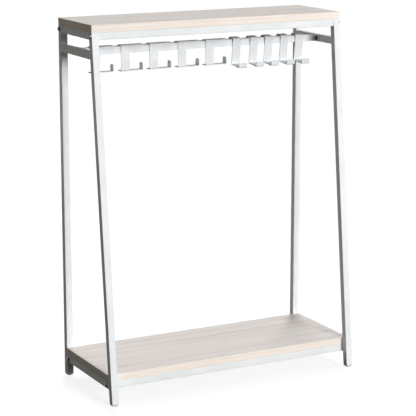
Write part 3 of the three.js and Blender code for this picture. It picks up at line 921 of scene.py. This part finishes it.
bar = tube(
    "hanger_bar_tube", -bar_reach, bar_reach,
    lambda a, b, x: (x, bar_centre.y + a, bar_centre.z + b))
smooth(bar)
bar_parts = [bar]
for side, outward in (("left", -1), ("right", 1)):
    plate_length = bar_high.y - bar_low.y
    rings = []
    for along, inset in (
            (0, plate_edge), (plate_edge, 0),
            (plate_thickness - plate_edge, 0), (plate_thickness, plate_edge)):
        outline = rounded_rectangle(
            plate_length - 2 * inset, tube_size - 2 * inset, plate_corner - inset)
        rings.append([
            (outward * (bar_reach + along), bar_centre.y + outward * a, bar_centre.z + b)
            for a, b in outline])
    plate = new_piece(f"hanger_bar_{side}_plate", loft(rings), powder_coat)
    start_x = outward * (bar_reach - plate_thickness)
    end_x = outward * (bar_high.x + plate_thickness)
    holes = [middle(f"bar_{side}_{end}_screw").y for end in ("front", "rear")]
    drill(plate, bar_screw_hole, [
        ((start_x, y, bar_centre.z), (end_x, y, bar_centre.z)) for y in holes])
    drill(plate, vent_radius, [
        ((start_x, bar_centre.y, bar_centre.z), (end_x, bar_centre.y, bar_centre.z))])
    smooth(plate)
    bar_parts.append(plate)

bm = bmesh.new()
weld_size = tube_size - 2 * bar_weld_inset
for outward in (-1, 1):
    weld_x = outward * (bar_reach + bar_weld_offset)
    outline = rounded_rectangle(weld_size, weld_size, tube_corner)
    add_loop(bm, [(weld_x, bar_centre.y + a, bar_centre.z + b) for a, b in outline])
bar_welds = new_piece("hanger_bar_welds", bm, powder_coat)
grow(bar_welds, bead_tree, {
    "Bead radius": 0.8 * mm, "Ripple spacing": 1.6 * mm, "Ripple height": 0.06,
    "Material": powder_coat})
bar_parts.append(bar_welds)
for piece in bar_parts:
    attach(piece, "rack_frame")
    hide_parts("hanger_bar")

bar_screw_places = []
for side, outward in (("left", -1), ("right", 1)):
    for end in ("front", "rear"):
        node = f"bar_{side}_{end}_screw"
        place = middle(node)
        bar_screw_places.append((node, (outward * bar_reach, place.y, place.z), (-outward, 0, 0)))
bar_screw = round_head_screw(
    "bar_screw", shank=5 * mm, length=9 * mm, head=12 * mm, head_height=5 * mm,
    socket=3 * mm, socket_depth=2.2 * mm, pitch=0.8 * mm, material=dark_plate)
add_screws("bar_screws", bar_screw, bar_screw_places, dark_plate, 7)


# ---------------------------------------------------------------- bag hooks
# Five loose hooks, each laser cut from 2.3 mm steel sheet and bent: a wide saddle over the
# bar, a narrow plate down from its left end, and a ledge under the bar with an upturned end.

# Thin cool-white coat on the hooks: a little bluer and glossier than the frame's.
hook_coat, tree, coordinates = start_material("white_coated_hook_steel")
hook_cloud = noise(tree, coordinates, 25 * mm, 3)
hook_peel = noise(tree, coordinates, 1.8 * mm, 2)
end_material(tree, {
    "Base Color": shade_ramp(tree, hook_cloud, [(0.3, "#E3E7E9"), (0.7, "#EDEFF0")]),
    "Roughness": between(tree, hook_cloud, 0.3, 0.42), "IOR": 1.5,
    "Normal": bumps(tree, hook_peel, 0.05 * mm, 0.3)})

hook_sheet = 2.3 * mm
half_sheet = hook_sheet / 2
bend_radius = 1.2 * mm + half_sheet  # to the sheet's middle
hook_edge = 0.35 * mm
hook_width = 25 * mm
hook_corner = 5 * mm
rear_drop = 15 * mm
bag_mouth = tube_size + 1.0 * mm
bag_width = 66.5 * mm
bag_front_drop = 19.5 * mm
bag_drop = 68.3 * mm
bag_ledge_back = 20.7 * mm
bag_tab = 20 * mm


def bend_line(corners):
    """A line through these corners, each inner one rounded to the sheet's bend radius."""
    steps = 6
    line = [Vector(corners[0])]
    for before, here, after in zip(corners, corners[1:], corners[2:]):
        arriving = (Vector(here) - Vector(before)).normalized()
        leaving = (Vector(after) - Vector(here)).normalized()
        turn = arriving.angle_signed(leaving)
        setback = bend_radius * math.tan(abs(turn) / 2)
        start = Vector(here) - arriving * setback
        inward = (leaving - arriving * arriving.dot(leaving)).normalized()
        for step in range(steps + 1):
            swing = abs(turn) * step / steps
            line.append(
                start + arriving * bend_radius * math.sin(swing)
                + inward * bend_radius * (1 - math.cos(swing)))
    return line + [Vector(corners[-1])]


def sheet_strip(bm, line, stations, place):
    """Faces along a line, cut across at each station; place makes a point of the two."""
    rows = [[bm.verts.new(place(point, station)) for station in stations] for point in line]
    for lower, upper in zip(rows, rows[1:]):
        for i in range(len(stations) - 1):
            bm.faces.new((lower[i], lower[i + 1], upper[i + 1], upper[i]))


def rounded_tab(bm, low, high, bottom, top, place, extra=()):
    """A flat face from bottom to top, its upper corners rounded. extra are points below."""
    steps = 6
    outline = [(low, bottom)] + [(station, bottom) for station in extra] + [(high, bottom)]
    for centre, quarter in ((high - hook_corner, 0), (low + hook_corner, 1)):
        for step in range(steps + 1):
            angle = math.pi / 2 * (quarter + step / steps)
            outline.append((
                centre + hook_corner * math.cos(angle),
                top - hook_corner + hook_corner * math.sin(angle)))
    bm.faces.new([bm.verts.new(place(across, up)) for across, up in outline])


def thicken(name, bm, material):
    """Gives a bent sheet its thickness and breaks its cut edges."""
    bmesh.ops.remove_doubles(bm, verts=bm.verts, dist=0.01 * mm)
    bmesh.ops.recalc_face_normals(bm, faces=bm.faces)
    piece = new_piece(name, bm, material)
    sheet = piece.modifiers.new("sheet", "SOLIDIFY")
    sheet.thickness = hook_sheet
    sheet.offset = 0
    sheet.use_even_offset = True
    edges = piece.modifiers.new("edges", "BEVEL")
    edges.width = hook_edge
    edges.segments = 2
    edges.limit_method = "ANGLE"
    edges.angle_limit = math.radians(60)
    settle(piece)
    smooth(piece, 40)
    return piece


def bag_hook_sheet():
    """The bag hook's middle surface; x = 0 at its left edge, y = z = 0 inside the saddle."""
    bm = bmesh.new()
    ledge_z = -bag_drop + half_sheet
    saddle = bend_line([
        (bag_mouth + half_sheet, -rear_drop), (bag_mouth + half_sheet, half_sheet),
        (-half_sheet, half_sheet), (-half_sheet, -bag_front_drop)])
    sheet_strip(bm, saddle, (0, hook_width, bag_width), lambda point, x: (x, point.x, point.y))
    plate = bend_line([
        (-half_sheet, -bag_front_drop), (-half_sheet, ledge_z), (bag_ledge_back, ledge_z)])
    sheet_strip(bm, plate, (0, hook_width), lambda point, x: (x, point.x, point.y))
    bend_end = bend_radius - half_sheet
    tab_x = bag_width - half_sheet
    tab_foot = ledge_z + bend_radius
    ledge = bend_line([(hook_width, ledge_z), (tab_x, ledge_z), (tab_x, tab_foot)])[:-1]
    sheet_strip(bm, ledge, (0, bend_end, bag_ledge_back), lambda point, y: (point.x, y, point.y))
    rounded_tab(
        bm, 0, bag_ledge_back, tab_foot, -bag_drop + bag_tab,
        lambda y, z: (tab_x, y, z), extra=(bend_end,))
    return bm


def add_hook(node, template, matrix):
    """Hangs a copy of a hook where its CAD node is."""
    mesh = template.data.copy()
    mesh.transform(matrix)
    hook = bpy.data.objects.new(f"{node}_sheet", mesh)
    scene.collection.objects.link(hook)
    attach(hook, node)
    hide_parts(node)


bag_hook = thicken("bag_hook", bag_hook_sheet(), hook_coat)
for number in range(1, 6):
    node = f"bag_hook_{number}"
    low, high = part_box(node)
    place = Vector((low.x, low.y + hook_sheet, high.z - hook_sheet))
    add_hook(node, bag_hook, Matrix.Translation(place))
bpy.data.objects.remove(bag_hook)


# ---------------------------------------------------------------- coat hooks
# Five loose hooks bent from one strip of the same sheet, with a shelf that comes forward to an
# upturned end. They hang tipped back by their own weight, because the saddle is a loose fit.

coat_mouth = tube_size + 3.0 * mm
coat_drop = 71 * mm
coat_reach = 46 * mm
coat_tab = 15 * mm
hook_clearance = 0.3 * mm
held_size = tube_size + 2 * hook_clearance
coat_tilt = math.asin(coat_mouth / (held_size * math.sqrt(2))) - math.pi / 4
coat_slip = held_size * math.sin(coat_tilt)


def coat_hook_sheet():
    """The coat hook's middle surface, with the same origin as the bag hook's."""
    bm = bmesh.new()
    shelf_z = -coat_drop + half_sheet
    tab_y = -coat_reach + half_sheet
    tab_foot = shelf_z + bend_radius
    line = bend_line([
        (coat_mouth + half_sheet, -rear_drop), (coat_mouth + half_sheet, half_sheet),
        (-half_sheet, half_sheet), (-half_sheet, shelf_z), (tab_y, shelf_z), (tab_y, tab_foot)])[:-1]
    sheet_strip(bm, line, (0, hook_width), lambda point, x: (x, point.x, point.y))
    rounded_tab(bm, 0, hook_width, tab_foot, -coat_drop + coat_tab, lambda x, z: (x, tab_y, z))
    return bm


bar_front = bar_centre.y - tube_size / 2
bar_top = bar_centre.z + tube_size / 2
coat_hook = thicken("coat_hook", coat_hook_sheet(), hook_coat)
for number in range(1, 6):
    node = f"coat_hook_{number}"
    place = Vector((
        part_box(node)[0].x,
        bar_front - hook_clearance - coat_slip * math.cos(coat_tilt),
        bar_top + hook_clearance - coat_slip * math.sin(coat_tilt)))
    add_hook(node, coat_hook, Matrix.Translation(place) @ Matrix.Rotation(coat_tilt, 4, "X"))
bpy.data.objects.remove(coat_hook)


# ---------------------------------------------------------------- sizes
# The finished model's box, found the same way as the CAD model's box at the start.

low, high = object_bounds()
